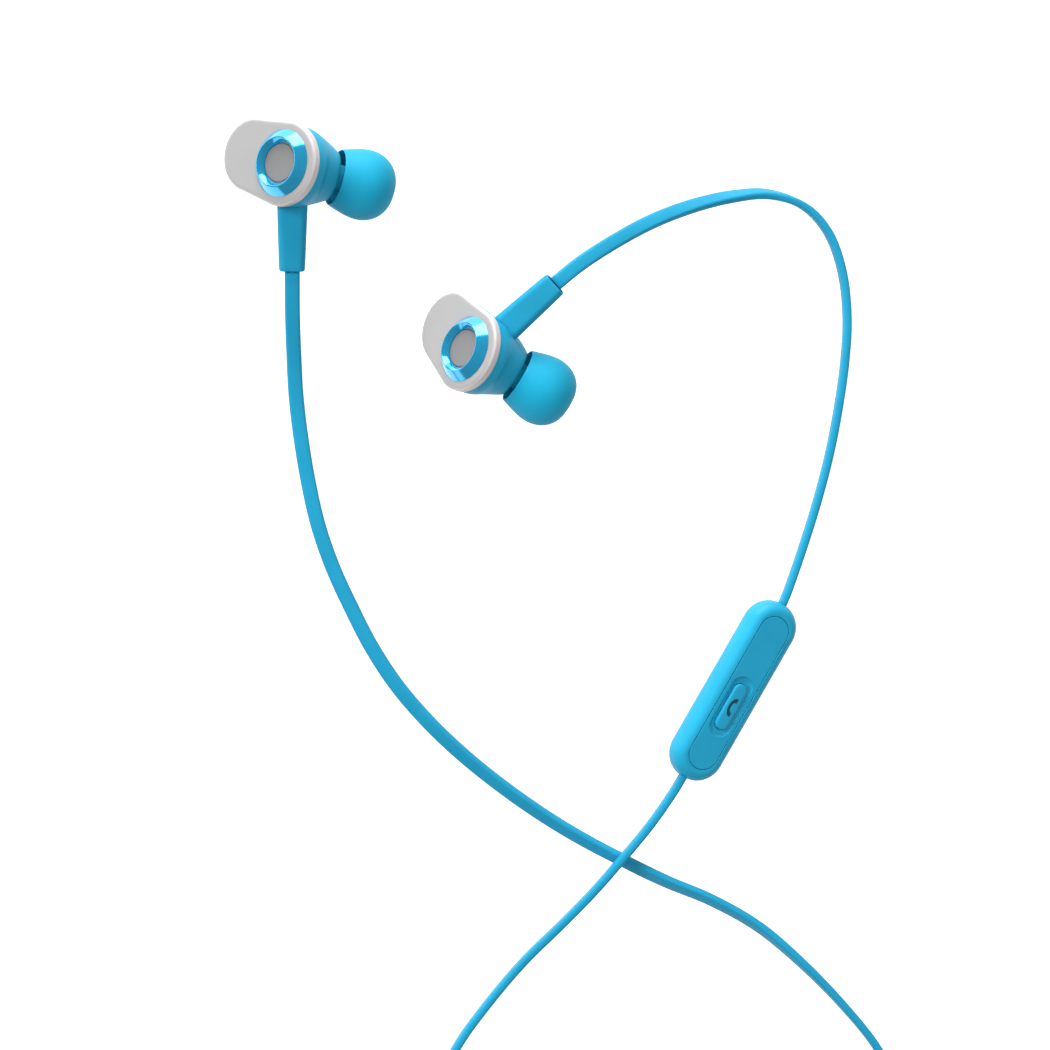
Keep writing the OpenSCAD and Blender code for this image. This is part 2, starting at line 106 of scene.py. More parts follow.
RIGHT_LOWER_ROUTE = [
    [30.1, -56.7, 3.65, -90], [27.9, -60.3, 3.6, -90], [24, -65.7, 3.8, -90], [19.2, -71.4, 3.9, -90],
    [14, -77.4, 3.4, -90], [8.2, -83.5, 2.2, -90], [1.8, -89.8, 1.45, -90], [-4.3, -96.8, 1.35, -90],
    [-10, -104.5, 1.35, -90], [-13.8, -112.5, 1.35, -90], [-14.4, -120.5, 1.35, -90],
    [-11.2, -127.5, 1.35, -90], [-5, -133, 1.4, -90], [1.5, -138, 1.6, -90], [5.2, -144, 2, -90],
    [6.4, -150.5, 2.2, -90],
]
MAIN_ROUTE = [
    [8, -167.5, 2.2, 90], [7.7, -172.5, 2, 90], [6.2, -176.5, 1.8, 90], [3.2, -180.3, 1.65, 90],
    [0, -184.4, 1.65, 90],
]
TAIL_ROUTE = [
    [-9.8, -177.5, 1.65, 90], [-13.5, -179, 1.9, 80], [-17.6, -178.9, 2.9, 55], [-21.6, -178, 3.9, 25],
    [-26.5, -177.4, 3.95, 0], [-32, -177, 3.8, 0], [-37.5, -176.7, 3.7, 0], [-42.5, -176.1, 2.9, 0],
    [-47.6, -174.4, 2.1, 0], [-51.6, -170.6, 2.1, 0], [-53.6, -165.8, 2.7, 0], [-54, -161, 3.1, 0],
]


def coil_route():
    """The stowed turns, wound inwards and clockwise, from the outside turn to the inside one."""
    points = []
    for k in range(1, COIL_TURNS * POINTS_PER_TURN):
        turned_by = k / POINTS_PER_TURN
        angle = math.radians(COIL_START - 360 * turned_by)
        radius = COIL_OUTER_R - COIL_PITCH * turned_by
        x, y = COIL_AT[0] + radius * math.cos(angle), COIL_AT[1] + radius * math.sin(angle)
        points.append([x, y, COIL_Z, 90])
    return points


def smooth_line(points, gap):
    """Points about a gap apart on the smooth curve through the given ones. A point may have extra values."""
    before = [2 * a - b for a, b in zip(points[0], points[1])]
    after = [2 * a - b for a, b in zip(points[-1], points[-2])]
    held = [before, *points, after]
    line = []
    for p0, p1, p2, p3 in zip(held, held[1:], held[2:], held[3:]):
        steps = max(1, round(math.dist(p1[:3], p2[:3]) / gap))
        for k in range(steps):
            t = k / steps
            weights = (
                -0.5 * t + t**2 - 0.5 * t**3,
                1 - 2.5 * t**2 + 1.5 * t**3,
                0.5 * t + 2 * t**2 - 1.5 * t**3,
                -0.5 * t**2 + 0.5 * t**3,
            )
            line.append([sum(w * v for w, v in zip(weights, values)) for values in zip(p0, p1, p2, p3)])
    return [*line, list(points[-1])]


def cord_section():
    """The flat cord's rounded section, as offsets across its width and its thickness, in millimetres."""
    offsets = []
    for across, up, start in ((1, 1, 0), (-1, 1, 90), (-1, -1, 180), (1, -1, 270)):
        for k in range(5):
            angle = math.radians(start + 22.5 * k)
            x = across * (CORD_W / 2 - CORD_ROUND) + CORD_ROUND * math.cos(angle)
            y = up * (CORD_T / 2 - CORD_ROUND) + CORD_ROUND * math.sin(angle)
            offsets.append((x, y))
    return offsets


def flat_cord(name, route):
    """A mesh tube of the cord's section along a route, and the line that it follows, in metres."""
    line = smooth_line(route, RING_GAP)
    spots = [Vector(p[:3]) * MM for p in line]
    section = cord_section()
    n = len(section)
    corners, faces, along = [], [], 0.0
    lengths = []
    for i, spot in enumerate(spots):
        ahead = (spots[min(i + 1, len(spots) - 1)] - spots[max(i - 1, 0)]).normalized()
        side = Vector((0, 0, 1)).cross(ahead).normalized()
        roll = math.radians(line[i][3])
        wide = math.cos(roll) * side + math.sin(roll) * ahead.cross(side)
        thin = ahead.cross(wide)
        corners += [spot + (x * wide + y * thin) * MM for x, y in section]
        along += (spot - spots[i - 1]).length if i else 0.0
        lengths.append(along)
    for i in range(len(spots) - 1):
        for k in range(n):
            faces.append([i * n + k, i * n + (k + 1) % n, (i + 1) * n + (k + 1) % n, (i + 1) * n + k])
    faces.append(list(range(n))[::-1])
    faces.append([(len(spots) - 1) * n + k for k in range(n)])
    mesh = bpy.data.meshes.new(name)
    mesh.from_pydata(corners, [], faces)
    uv = mesh.uv_layers.new(name="along")
    for face in mesh.polygons:
        for loop in face.loop_indices:
            i, k = divmod(mesh.loops[loop].vertex_index, n)
            uv.data[loop].uv = (lengths[i] / MM / 10, k / n)
    cord = bpy.data.objects.new(name, mesh)
    bpy.context.scene.collection.objects.link(cord)
    cord.data.polygons.foreach_set("use_smooth", [True] * len(mesh.polygons))
    return cord, spots


# ---- Shaping: every solid is bridged through rings, each a circle that is spread out ----


def ring(radius, z, spread=(0, 0), far_radius=None, x=0.0):
    """One ring: a circle about (x, 0, z) whose halves are moved apart by the spread. far_radius is +X's."""
    return {"radius": radius, "z": z, "spread": spread, "far": far_radius or radius, "x": x, "lean": None}


def bar_ring(length, width, z, x=0.0):
    """A ring with two straight sides and round ends."""
    return ring(width / 2, z, ((length - width) / 2, 0), x=x)


def box_ring(length, width, corner, z, x=0.0):
    """A rectangle with round corners."""
    return ring(corner, z, (length / 2 - corner, width / 2 - corner), x=x)


def pill_ring(near_radius, far_radius, reach, z):
    """A ring whose near end is round about the origin and whose far end is round about x = reach."""
    return ring(near_radius, z, (reach / 2, 0), far_radius, x=reach / 2)


def select_where(mesh, keep):
    """Leaves selected only those of the selected vertices that keep accepts."""
    shape = bmesh.from_edit_mesh(mesh)
    for v in shape.verts:
        if v.select and not keep(v.co):
            v.select = False
    shape.select_flush_mode()
    bmesh.update_edit_mesh(mesh)


def add_ring(obj, r, steps):
    """Adds one ring to the piece in edit mode, as a circle whose halves are resized and moved apart."""
    lean = r["lean"] or Matrix.Identity(4)
    centre = lean @ (Vector((r["x"], 0, r["z"])) * MM)
    facing = (lean @ Matrix.Rotation(math.pi / steps, 4, "Z")).to_euler()
    bpy.ops.mesh.primitive_circle_add(
        vertices=steps, radius=r["radius"] * MM, location=centre, rotation=facing
    )
    dx, dy = r["spread"]
    moves = []
    if dx or r["far"] != r["radius"]:
        moves += [(0, 1, dx, r["far"] / r["radius"]), (0, -1, -dx, 1)]
    if dy:
        moves += [(1, 1, dy, 1), (1, -1, -dy, 1)]
    shape = bmesh.from_edit_mesh(obj.data)
    fresh = [v.index for v in shape.verts if v.select]
    homes = {v.index: v.co - centre for v in shape.verts if v.select}
    for axis, sign, distance, scale in moves:
        shape = bmesh.from_edit_mesh(obj.data)
        shape.verts.ensure_lookup_table()
        for v in shape.verts:
            v.select = False
        for i in fresh:
            shape.verts[i].select = homes[i][axis] * sign > 0
        shape.select_flush_mode()
        bmesh.update_edit_mesh(obj.data)
        if scale != 1:
            bpy.ops.transform.resize(value=(scale, scale, 1), center_override=centre)
        bpy.ops.transform.translate(value=[distance * MM * (k == axis) for k in range(3)])


def edit_ring(mesh, numbers, steps):
    """Selects the edges of the rings with these numbers."""
    shape = bmesh.from_edit_mesh(mesh)
    shape.edges.ensure_lookup_table()
    bpy.ops.mesh.select_all(action="DESELECT")
    for number in numbers:
        for i in range(number * steps, (number + 1) * steps):
            shape.edges[i].select = True
    shape.select_flush_mode()
    bmesh.update_edit_mesh(mesh)


def move_vertices(mesh, place):
    """Moves every vertex of the piece in edit mode to place(its number)."""
    shape = bmesh.from_edit_mesh(mesh)
    for v in shape.verts:
        v.co = place(v.index)
    shape.normal_update()
    bmesh.update_edit_mesh(mesh)


def lofted(name, rings, steps=48, closed=False):
    """A piece bridged from ring to ring. A closed one joins its last ring to its first, others are capped.

    The rings stand in a plain stack while they are bridged, as rings in one plane could be joined crosswise.
    """
    bpy.ops.object.select_all(action="DESELECT")
    obj = bpy.data.objects.new(name, bpy.data.meshes.new(name))
    bpy.context.scene.collection.objects.link(obj)
    bpy.context.view_layer.objects.active = obj
    obj.select_set(True)
    bpy.ops.object.mode_set(mode="EDIT")
    bpy.ops.mesh.select_mode(type="VERT")
    for r in rings:
        add_ring(obj, r, steps)
    homes = [v.co.copy() for v in bmesh.from_edit_mesh(obj.data).verts]
    angles = [2 * math.pi * k / steps for k in range(steps)]
    corners = [Vector((math.cos(angle), math.sin(angle), 0)) for angle in angles]
    move_vertices(obj.data, lambda i: corners[i % steps] + Vector((0, 0, i // steps)))
    bpy.ops.mesh.select_mode(type="EDGE")
    pairs = list(zip(range(len(rings)), range(1, len(rings)))) + ([(len(rings) - 1, 0)] if closed else [])
    for pair in pairs:
        edit_ring(obj.data, pair, steps)
        bpy.ops.mesh.bridge_edge_loops()
    for end in () if closed else (0, len(rings) - 1):
        edit_ring(obj.data, [end], steps)
        bpy.ops.mesh.edge_face_add()
    move_vertices(obj.data, lambda i: homes[i])
    bpy.ops.mesh.select_all(action="SELECT")
    bpy.ops.mesh.normals_make_consistent(inside=False)
    bpy.ops.object.mode_set(mode="OBJECT")
    return obj


def apply_modifier(obj, kind, **values):
    modifier = obj.modifiers.new(kind, kind)
    for key, value in values.items():
        setattr(modifier, key, value)
    bpy.ops.object.select_all(action="DESELECT")
    bpy.context.view_layer.objects.active = obj
    obj.select_set(True)
    bpy.ops.object.modifier_apply(modifier=modifier.name)


def cut(obj, cutter):
    """Takes the cutter's shape out of the piece."""
    apply_modifier(obj, "BOOLEAN", object=cutter, operation="DIFFERENCE", solver="EXACT")
    bpy.data.objects.remove(cutter)
    return obj


def subdivided(obj, levels):
    apply_modifier(obj, "SUBSURF", levels=levels, render_levels=levels)
    return obj


def shaded(obj, angle=40):
    """Smooth shading that leaves crisp the edges sharper than the angle and those of large flat faces."""
    bpy.ops.object.select_all(action="DESELECT")
    bpy.context.view_layer.objects.active = obj
    obj.select_set(True)
    bpy.ops.object.shade_smooth_by_angle(angle=math.radians(angle))
    shape = bmesh.new()
    shape.from_mesh(obj.data)
    for face in shape.faces:
        if len(face.verts) > 6:
            for edge in face.edges:
                edge.smooth = False
    shape.to_mesh(obj.data)
    shape.free()
    return obj


def remember_place(obj):
    """Keeps each point's place in the piece's own frame, in millimetres, for patterns that follow it."""
    own = obj.data.attributes.new("own", "FLOAT_VECTOR", "POINT")
    for v, item in zip(obj.data.vertices, own.data):
        item.vector = v.co / MM


def placed(obj, matrix):
    """Moves the mesh itself to its place. A mirrored place turns the faces, so they are turned back."""
    obj.data.transform(matrix)
    bpy.ops.object.select_all(action="DESELECT")
    bpy.context.view_layer.objects.active = obj
    obj.select_set(True)
    bpy.ops.object.mode_set(mode="EDIT")
    bpy.ops.mesh.select_all(action="SELECT")
    bpy.ops.mesh.normals_make_consistent(inside=False)
    bpy.ops.object.mode_set(mode="OBJECT")
    return obj


def copied(obj, name):
    """A copy with its own mesh."""
    twin = obj.copy()
    twin.data = obj.data.copy()
    twin.name = twin.data.name = name
    bpy.context.scene.collection.objects.link(twin)
    return twin


def arc(count, start, stop):
    """Cosine and sine at count + 1 angles from start to stop degrees."""
    angles = [math.radians(start + (stop - start) * k / count) for k in range(count + 1)]
    return [(math.cos(a), math.sin(a)) for a in angles]


# ---- Shader groups ----


def new_group(name, inputs, outputs):
    """A node group with its sockets, each (name, kind, value)."""
    group = bpy.data.node_groups.new(name, "ShaderNodeTree")
    for socket, kind, value in inputs:
        made = group.interface.new_socket(socket, in_out="INPUT", socket_type=kind)
        made.default_value = value
    for socket, kind in outputs:
        group.interface.new_socket(socket, in_out="OUTPUT", socket_type=kind)
    return group, group.nodes.new("NodeGroupInput"), group.nodes.new("NodeGroupOutput")


def node(tree, kind, values=(), **settings):
    """Adds a node, with its settings and its input values by name."""
    made = tree.nodes.new(kind)
    for key, value in settings.items():
        setattr(made, key, value)
    for key, value in dict(values).items():
        made.inputs[key].default_value = value
    return made


def link(tree, *pairs):
    for source, target in pairs:
        tree.links.new(source, target)


def build_skin_group():
    """Moulded skin: a slow change of tone, a fine grain and an uneven sheen, fixed to the piece."""
    group, given, result = new_group(
        "moulded_skin",
        [
            ("Color", "NodeSocketColor", (0.5, 0.5, 0.5, 1)),
            ("Tone", "NodeSocketFloat", 0.06),
            ("Grain Scale", "NodeSocketFloat", 6000.0),
            ("Roughness", "NodeSocketFloat", 0.5),
            ("Sheen Spread", "NodeSocketFloat", 0.08),
        ],
        [("Color", "NodeSocketColor"), ("Roughness", "NodeSocketFloat"), ("Height", "NodeSocketFloat")],
    )
    place = node(group, "ShaderNodeTexCoord")
    slow = node(group, "ShaderNodeTexNoise", {"Scale": 140.0, "Detail": 3.0})
    fine = node(group, "ShaderNodeTexNoise", {"Detail": 2.0})
    speck = node(group, "ShaderNodeTexVoronoi", {"Scale": 2600.0})
    tone = node(group, "ShaderNodeMapRange", {"From Min": 0.3, "From Max": 0.7})
    low = node(group, "ShaderNodeMath", operation="SUBTRACT")
    low.inputs[0].default_value = 1.0
    high = node(group, "ShaderNodeMath", operation="ADD")
    high.inputs[0].default_value = 1.0
    scaled = node(group, "ShaderNodeVectorMath", operation="SCALE")
    spread = node(group, "ShaderNodeMath", operation="MULTIPLY_ADD")
    middle = node(group, "ShaderNodeMath", operation="SUBTRACT")
    middle.inputs[1].default_value = 0.5
    height = node(group, "ShaderNodeMath", operation="MULTIPLY_ADD")
    height.inputs[1].default_value = 0.3
    link(
        group,
        (place.outputs["Object"], slow.inputs["Vector"]),
        (place.outputs["Object"], fine.inputs["Vector"]),
        (place.outputs["Object"], speck.inputs["Vector"]),
        (given.outputs["Grain Scale"], fine.inputs["Scale"]),
        (given.outputs["Tone"], low.inputs[1]),
        (given.outputs["Tone"], high.inputs[1]),
        (slow.outputs["Fac"], tone.inputs["Value"]),
        (low.outputs[0], tone.inputs["To Min"]),
        (high.outputs[0], tone.inputs["To Max"]),
        (given.outputs["Color"], scaled.inputs[0]),
        (tone.outputs["Result"], scaled.inputs["Scale"]),
        (slow.outputs["Fac"], middle.inputs[0]),
        (middle.outputs[0], spread.inputs[0]),
        (given.outputs["Sheen Spread"], spread.inputs[1]),
        (given.outputs["Roughness"], spread.inputs[2]),
        (speck.outputs["Distance"], height.inputs[0]),
        (fine.outputs["Fac"], height.inputs[2]),
        (scaled.outputs["Vector"], result.inputs["Color"]),
        (spread.outputs[0], result.inputs["Roughness"]),
        (height.outputs[0], result.inputs["Height"]),
    )
    return group


def build_lines_group():
    """Fine lines from a tool: a noise read along one measure only, such as the distance from an axis."""
    group, given, result = new_group(
        "tool_lines",
        [
            ("Measure", "NodeSocketFloat", 0.0),
            ("Color", "NodeSocketColor", (0.5, 0.5, 0.5, 1)),
            ("Lines per mm", "NodeSocketFloat", 14.0),
            ("Depth", "NodeSocketFloat", 0.05),
            ("Roughness", "NodeSocketFloat", 0.3),
        ],
        [("Color", "NodeSocketColor"), ("Roughness", "NodeSocketFloat"), ("Height", "NodeSocketFloat")],
    )
    lines = node(group, "ShaderNodeTexNoise", {"Detail": 3.0}, noise_dimensions="1D")
    shade = node(group, "ShaderNodeMath", operation="MULTIPLY_ADD")
    keep = node(group, "ShaderNodeMath", operation="SUBTRACT")
    keep.inputs[0].default_value = 1.0
    scaled = node(group, "ShaderNodeVectorMath", operation="SCALE")
    rough = node(group, "ShaderNodeMath", operation="MULTIPLY_ADD")
    rough.inputs[1].default_value = 0.12
    link(
        group,
        (given.outputs["Measure"], lines.inputs["W"]),
        (given.outputs["Lines per mm"], lines.inputs["Scale"]),
        (given.outputs["Depth"], keep.inputs[1]),
        (lines.outputs["Fac"], shade.inputs[0]),
        (given.outputs["Depth"], shade.inputs[1]),
        (keep.outputs[0], shade.inputs[2]),
        (given.outputs["Color"], scaled.inputs[0]),
        (shade.outputs[0], scaled.inputs["Scale"]),
        (lines.outputs["Fac"], rough.inputs[0]),
        (given.outputs["Roughness"], rough.inputs[2]),
        (scaled.outputs["Vector"], result.inputs["Color"]),
        (rough.outputs[0], result.inputs["Roughness"]),
        (lines.outputs["Fac"], result.inputs["Height"]),
    )
    return group


skin_group = build_skin_group()
lines_group = build_lines_group()

# ---- Materials ----


def new_material(name, group, values, bump=0.1, bump_distance=0.00002, **shader):
    """A Principled material with its colour, roughness and bump from a group and the rest on the shader."""
    material = bpy.data.materials.new(name)
    material.use_nodes = True
    tree = material.node_tree
    surface = tree.nodes["Principled BSDF"]
    for key, value in shader.items():
        surface.inputs[key.replace("_", " ")].default_value = value
    skin = node(tree, "ShaderNodeGroup", node_tree=group)
    for key, value in values.items():
        skin.inputs[key].default_value = value
    raised = node(tree, "ShaderNodeBump", {"Strength": bump, "Distance": bump_distance})
    link(
        tree,
        (skin.outputs["Color"], surface.inputs["Base Color"]),
        (skin.outputs["Roughness"], surface.inputs["Roughness"]),
        (skin.outputs["Height"], raised.inputs["Height"]),
        (raised.outputs["Normal"], surface.inputs["Normal"]),
    )
    return material, tree, skin


def moulded(name, color, tone=0.05, grain=6000.0, roughness=0.5, spread=0.08, bump=0.1, **shader):
    values = {
        "Color": (*color, 1),
        "Tone": tone,
        "Grain Scale": grain,
        "Roughness": roughness,
        "Sheen Spread": spread,
    }
    return new_material(name, skin_group, values, bump, **shader)[0]


def tooled(name, color, measure, lines=14.0, depth=0.1, roughness=0.3, bump=0.1, metal=1.0, **shader):
    """Metal with tool lines: round the piece's axis when measure is radius, or along its height."""
    values = {"Color": (*color, 1), "Lines per mm": lines, "Depth": depth, "Roughness": roughness}
    material, tree, skin = new_material(name, lines_group, values, bump, Metallic=metal, **shader)
    own = node(tree, "ShaderNodeAttribute", attribute_name="own")
    if measure == "radius":
        flat = node(tree, "ShaderNodeVectorMath", operation="MULTIPLY")
        flat.inputs[1].default_value = (1, 1, 0)
        length = node(tree, "ShaderNodeVectorMath", operation="LENGTH")
        link(
            tree,
            (own.outputs["Vector"], flat.inputs[0]),
            (flat.outputs["Vector"], length.inputs[0]),
            (length.outputs["Value"], skin.inputs["Measure"]),
        )
    else:
        parts = node(tree, "ShaderNodeSeparateXYZ")
        link(tree, (own.outputs["Vector"], parts.inputs[0]), (parts.outputs["Z"], skin.inputs["Measure"]))
    return material


PLATE_SILVER = (0.36, 0.355, 0.355)
# The faceplate's rounded edge gets a lighter colour: a painted highlight where that edge catches the light.
PLATE_EDGE_HIGHLIGHT = (0.66, 0.60, 0.585)

shell_blue = moulded("shell_blue", (0.014, 0.36, 0.575), roughness=0.5, bump=0.12, Specular_IOR_Level=0.3)
inlay_blue = moulded("inlay_blue", (0.016, 0.35, 0.57), roughness=0.42, bump=0.05, Specular_IOR_Level=0.3)
tip_blue = moulded("tip_silicone", (0.01, 0.37, 0.58), roughness=0.6, bump=0.08, Specular_IOR_Level=0.25)
relief_blue = moulded(
    "relief_blue", (0.0125, 0.29, 0.475), roughness=0.55, bump=0.1, Specular_IOR_Level=0.25
)
cord_blue = moulded("cord_jacket", (0.0125, 0.3, 0.5), grain=9000.0, roughness=0.52, Specular_IOR_Level=0.25)
plate_silver = moulded(
    "plate_silver", PLATE_SILVER, tone=0.02, grain=20000.0, roughness=0.45, bump=0.05, Metallic=0.15
)


def paint_edge_highlight(material, color, highlight_color):
    """Blends a material's colour into another, lighter one below the faceplate's front, on its rounded edge:
    a painted highlight where that edge catches the light.
    """
    tree = material.node_tree
    skin = next(n for n in tree.nodes if n.type == "GROUP")
    own = node(tree, "ShaderNodeAttribute", attribute_name="own")
    parts = node(tree, "ShaderNodeSeparateXYZ")
    depth = node(tree, "ShaderNodeMapRange", {"From Min": -0.03, "From Max": -0.3})
    blend = node(tree, "ShaderNodeMix", data_type="RGBA")
    blend.inputs[6].default_value = (*color, 1)
    blend.inputs[7].default_value = (*highlight_color, 1)
    link(
        tree,
        (own.outputs["Vector"], parts.inputs[0]),
        (parts.outputs["Z"], depth.inputs["Value"]),
        (depth.outputs["Result"], blend.inputs[0]),
        (blend.outputs[2], skin.inputs["Color"]),
    )


# Paints a highlight on the faceplate's rounded edge.
paint_edge_highlight(plate_silver, PLATE_SILVER, PLATE_EDGE_HIGHLIGHT)
ring_blue = tooled(
    "ring_blue", (0.01, 0.42, 0.74), "radius", metal=0.65, depth=0.04, roughness=0.08, Coat_Weight=1.0
)
disc_grey = tooled(
    "disc_grey", (0.24, 0.237, 0.238), "radius", lines=9.0, depth=0.16, roughness=0.5, metal=0.25
)
mesh_steel = tooled("mesh_steel", (0.45, 0.46, 0.48), "radius", roughness=0.35)
driver_steel = moulded("driver_steel", (0.58, 0.59, 0.61), tone=0.03, roughness=0.32, Metallic=1.0)
magnet_nickel = moulded("magnet_nickel", (0.62, 0.61, 0.58), tone=0.02, roughness=0.16, Metallic=1.0)
frame_grey = moulded("frame_grey", (0.06, 0.065, 0.07), roughness=0.5)
coil_copper = moulded("coil_copper", (0.70, 0.32, 0.13), tone=0.12, roughness=0.3, Metallic=1.0)
film = moulded("diaphragm_film", (0.70, 0.62, 0.42), tone=0.02, roughness=0.22)
board_green = moulded("board_green", (0.02, 0.16, 0.07), tone=0.1, roughness=0.35, Coat_Weight=0.4)
gasket_black = moulded("gasket_black", (0.01, 0.01, 0.01), grain=3000.0, roughness=0.85, bump=0.4)
plating = tooled("plug_plating", (0.66, 0.65, 0.62), "height", lines=10.0, depth=0.06, roughness=0.14)
insulator_black = moulded("insulator_black", (0.008, 0.008, 0.009), roughness=0.4)
tie_black = moulded("tie_black", (0.012, 0.012, 0.014), grain=4000.0, roughness=0.7, bump=0.3)
glyph_dark = moulded("glyph_dark", (0.004, 0.05, 0.085), roughness=0.6)


def finish_piece(obj, material, body, slot, *nodes):
    """Gives a piece its material, its body and the CAD nodes that it stands for. The slot is not used."""
    obj.data.materials.clear()
    obj.data.materials.append(material)
    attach(obj, body)
    if nodes:
        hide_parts(*nodes)
    return obj


# ---- Laying the cords ----

left_cord, left_line = flat_cord("cord_left", LEFT_ROUTE)
upper_cord, upper_line = flat_cord("cord_right_upper", RIGHT_UPPER_ROUTE)
lower_cord, lower_line = flat_cord("cord_right_lower", RIGHT_LOWER_ROUTE)
main_cord, main_line = flat_cord("cord_main", MAIN_ROUTE[:-1] + coil_route() + TAIL_ROUTE[1:])
finish_piece(left_cord, cord_blue, "earphones", "cord_blue", "left_cord")
finish_piece(upper_cord, cord_blue, "earphones", "cord_blue", "right_cord_upper")
finish_piece(lower_cord, cord_blue, "earphones", "cord_blue", "right_cord_lower")
finish_piece(main_cord, cord_blue, "earphones", "cord_blue", "main_cord", "cord_coil", "main_cord_tail")

# ---- Earbud pieces, in the earbud's own frame ----

FACE_R = 7.4
TAB_R = 6.4
TAB_REACH = 7.3
FACE_T = 1.5
FACE_EDGE = 0.75
SEAT_R = 4.95
SEAT_DEPTH = 0.7
RING_FOOT_R = 5.85
RING_RIM_R = 4.3
RING_RISE = 1.5
DISC_R = 3.35
DISC_RISE = 0.4
SHELL_GAP = 0.15
SKIN = 1.0
RIM_DEPTH = 4.2
RIM_TAB_R = 6.2
RIM_REACH = 6.4
RIM_LEAN = 6
NOZZLE_TILT = 33
STEM_R = 2.35
LIP_R = 2.6
BORE_R = 1.7
STEM_END = 12.1
MESH_AT = 11.6
RELIEF_ROOT = 5.4
RELIEF_END = 18.3
RELIEF_W = 5.4
RELIEF_T = 3.2

LEFT_BUD = shift(-41.6, 49.8, 13.2) @ turn(0, 41.5, 174.4) @ turn(z=-12)
RIGHT_BUD = shift(-9.8, 18.1, 12.4) @ turn(0, 53.1, 163.9) @ turn(z=-25.5) @ Matrix.Scale(-1, 4, (0, 1, 0))
SIDES = {"left": LEFT_BUD, "right": RIGHT_BUD}
NOZZLE = shift(0, 0, -5) @ turn(y=180 + NOZZLE_TILT)
NOZZLE_LEAN = shift(0, 0, -5) @ turn(y=NOZZLE_TILT)
RELIEF = shift(0, 0, -3.1) @ turn(-108.2, -39.1, 18.6)


def nozzle_ring(radius, station):
    """A ring round the nozzle's axis, a distance along it from where it starts behind the face."""
    leaned = ring(radius, -station)
    leaned["lean"] = NOZZLE_LEAN
    return leaned


def make_plate():
    """The faceplate: a flat pill with a soft front edge and a round seat for the ring."""
    rings = [
        pill_ring(FACE_R - 0.1, TAB_R - 0.1, TAB_REACH, -FACE_T),
        pill_ring(FACE_R, TAB_R, TAB_REACH, 0.1 - FACE_T),
    ]
    for across, up in arc(6, 0, 90):
        inset = FACE_EDGE * (1 - across)
        rings.append(pill_ring(FACE_R - inset, TAB_R - inset, TAB_REACH, -0.55 * (1 - up)))
    seat = [ring(SEAT_R + 0.1, 0.2), ring(SEAT_R + 0.1, 0), ring(SEAT_R, -0.1), ring(SEAT_R, -FACE_T - 0.2)]
    plate = cut(lofted("plate", rings, steps=128), lofted("seat", seat, steps=128))
    return shaded(plate, 20)


def make_trim_ring():
    """The polished ring: a steep outer flank, a narrow round rim and an inner flank down to the disc."""
    outline = [
        (DISC_R + 0.05, 0.1 - SEAT_DEPTH), (DISC_R + 0.15, -SEAT_DEPTH), (SEAT_R - 0.15, -SEAT_DEPTH),
        (SEAT_R - 0.05, 0.1 - SEAT_DEPTH), (SEAT_R - 0.05, 0.01), (RING_FOOT_R - 0.06, 0.01),
        (RING_FOOT_R, 0.06), (RING_RIM_R + 0.22, RING_RISE - 0.1), (RING_RIM_R + 0.1, RING_RISE - 0.02),
        (RING_RIM_R, RING_RISE), (RING_RIM_R - 0.1, RING_RISE - 0.02), (RING_RIM_R - 0.22, RING_RISE - 0.1),
        (DISC_R + 0.07, DISC_RISE + 0.04), (DISC_R + 0.05, DISC_RISE),
    ]
    return shaded(lofted("trim_ring", [ring(r, z) for r, z in outline], steps=160, closed=True), 22)


def make_disc():
    """The flat disc inside the ring, with its edge broken."""
    top = DISC_RISE
    outline = [
        (DISC_R - 0.1, -SEAT_DEPTH), (DISC_R, 0.1 - SEAT_DEPTH), (DISC_R, top - 0.12),
        (DISC_R - 0.04, top - 0.04), (DISC_R - 0.12, top), (DISC_R - 0.4, top - 0.01),
        (1.2, top - 0.02), (0.3, top - 0.02),
    ]
    return shaded(lofted("disc", [ring(r, z) for r, z in outline], steps=96), 30)


def make_shell():
    """The housing and nozzle stem: one hollow wall from the plate's rim to the lip and back inside."""
    rim, tab = FACE_R - SHELL_GAP, TAB_R - SHELL_GAP
    widest = pill_ring(rim, RIM_TAB_R, RIM_REACH, 0.5 - RIM_DEPTH)
    widest["lean"] = turn(y=RIM_LEAN)
    outside = [
        pill_ring(rim - 0.08, tab - 0.08, TAB_REACH, -FACE_T),
        pill_ring(rim, tab, TAB_REACH, -FACE_T - 0.08),
        pill_ring(rim, tab, TAB_REACH, -FACE_T - 0.3),
        widest,
    ]
    neck = [
        (6.0, 3), (5.2, 4.5), (4.6, 5.6), (4.32, 6.0), (4.0, 6.1), (2.9, 6.12), (2.45, 6.2), (STEM_R, 6.5),
    ]
    lip = [
        (STEM_R, 11.0), (STEM_R, 11.25), (LIP_R - 0.05, 11.34), (LIP_R, 11.5), (LIP_R, 11.9),
        (LIP_R - 0.08, STEM_END), (BORE_R + 0.15, STEM_END), (BORE_R, 11.95), (BORE_R, 11.7),
        (BORE_R, 5.2), (BORE_R + 0.1, 5.0),
    ]
    inner_neck = [(3.1, 4.6), (3.8, 4.0), (4.9, 2.2)]
    inside = [
        pill_ring(rim - SKIN, RIM_TAB_R - SKIN, RIM_REACH, 0.3 - RIM_DEPTH),
        pill_ring(rim - SKIN, tab - SKIN, TAB_REACH - 0.3, -FACE_T - 0.3),
        pill_ring(rim - SKIN, tab - SKIN, TAB_REACH - 0.3, -FACE_T),
    ]
    turned = [nozzle_ring(r, s) for r, s in [*neck, *lip, *inner_neck]]
    return shaded(subdivided(lofted("shell", [*outside, *turned, *inside], steps=36, closed=True), 2), 60)


